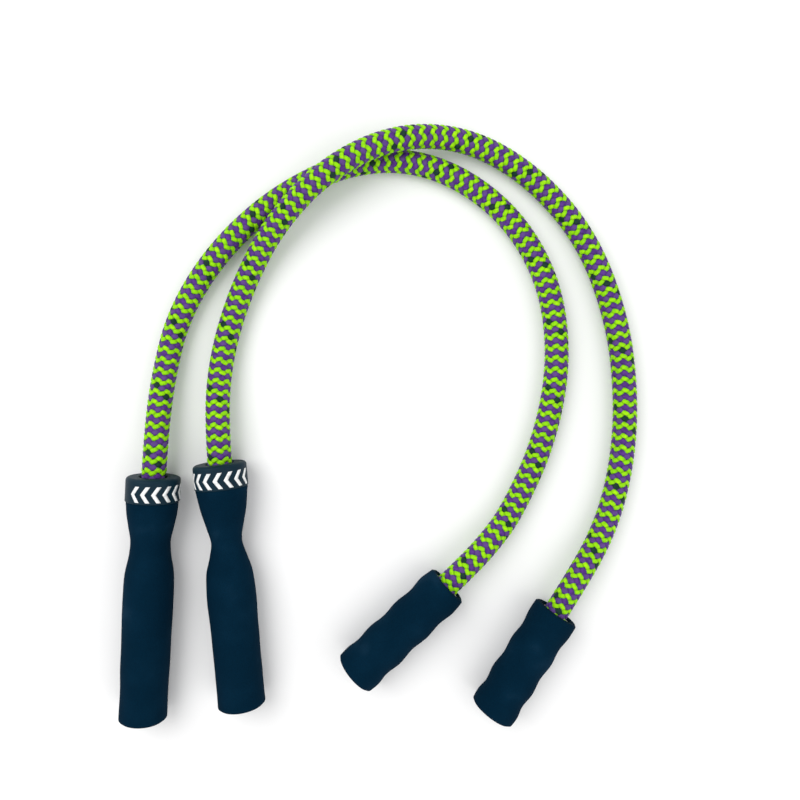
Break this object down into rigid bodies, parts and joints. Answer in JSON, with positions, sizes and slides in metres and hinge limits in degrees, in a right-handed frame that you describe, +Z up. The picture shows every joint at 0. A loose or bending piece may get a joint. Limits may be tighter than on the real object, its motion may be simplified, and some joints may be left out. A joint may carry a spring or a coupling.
{
  "type": "ropeless jump rope pair",
  "caption": "Pair of short thick braided training ropes, each with a long foam handle that spins on a ball bearing and a short weighted foam end piece.",
  "frame": {"origin": "on the surface the pair lies on, under the middle of the box round the two handles and the two end pieces", "axes": "+X from rope A's handle across to rope B's end piece; +Y from the grips towards the ropes' arches; +Z up from the surface"},
  "size_m": [0.3355, 0.385, 0.049],
  "materials": {
    "rope": "braided filament yarn",
    "foam": "matte closed-cell foam",
    "collar": null,
    "core": "moulded nylon",
    "plug": "moulded",
    "tube": "extruded off-white",
    "ferrule": "crimped, turned",
    "bearing_steel": "ground",
    "cage": "moulded",
    "spring_steel": "oiled",
    "weight": "turned"
  },
  "bodies": {
    "root": {"rope_a": "rope", "ferrule_a": "ferrule", "bearing_inner_a": "bearing_steel", "short_tube_a": "tube", "short_foam_a": "foam", "rope_pin_a": "spring_steel", "end_weight_a": "weight", "short_plug_a": "plug"},
    "handle_a": {"handle_core_a": "core", "collar_a": "collar", "handle_foam_a": "foam", "handle_plug_a": "plug", "bearing_outer_a": "bearing_steel", "circlip_a": "spring_steel"},
    "cage_a": {"bearing_cage_a": "cage", "bearing_balls_a": "bearing_steel"},
    "rope_b": {"rope_b": "rope", "ferrule_b": "ferrule", "bearing_inner_b": "bearing_steel", "short_tube_b": "tube", "short_foam_b": "foam", "rope_pin_b": "spring_steel", "end_weight_b": "weight", "short_plug_b": "plug"},
    "handle_b": {"handle_core_b": "core", "collar_b": "collar", "handle_foam_b": "foam", "handle_plug_b": "plug", "bearing_outer_b": "bearing_steel", "circlip_b": "spring_steel"},
    "cage_b": {"bearing_cage_b": "cage", "bearing_balls_b": "bearing_steel"}
  },
  "joints": [
    {"name": "handle_a_spin", "type": "hinge", "parent": "root", "child": "handle_a", "pos_m": [-0.12391, 0.07547, 0.01713], "axis": [0.0476, 0.9988, 0.0121], "continuous": true},
    {"name": "cage_a_spin", "type": "hinge", "parent": "root", "child": "cage_a", "pos_m": [-0.12391, 0.07547, 0.01713], "axis": [0.0476, 0.9988, 0.0121], "continuous": true},
    {"name": "rope_b_lift", "type": "slide", "parent": "root", "child": "rope_b", "axis": [0, 0, 1], "range_m": [0, 0.2]},
    {"name": "handle_b_spin", "type": "hinge", "parent": "rope_b", "child": "handle_b", "pos_m": [-0.08177, 0.0839, 0.01713], "axis": [-0.0901, 0.9959, 0.0121], "continuous": true},
    {"name": "cage_b_spin", "type": "hinge", "parent": "rope_b", "child": "cage_b", "pos_m": [-0.08177, 0.0839, 0.01713], "axis": [-0.0901, 0.9959, 0.0121], "continuous": true}
  ],
  "couplings": [
    {"joint": "cage_a_spin", "follows": "handle_a_spin", "ratio": 0.55814},
    {"joint": "cage_b_spin", "follows": "handle_b_spin", "ratio": 0.55814}
  ]
}
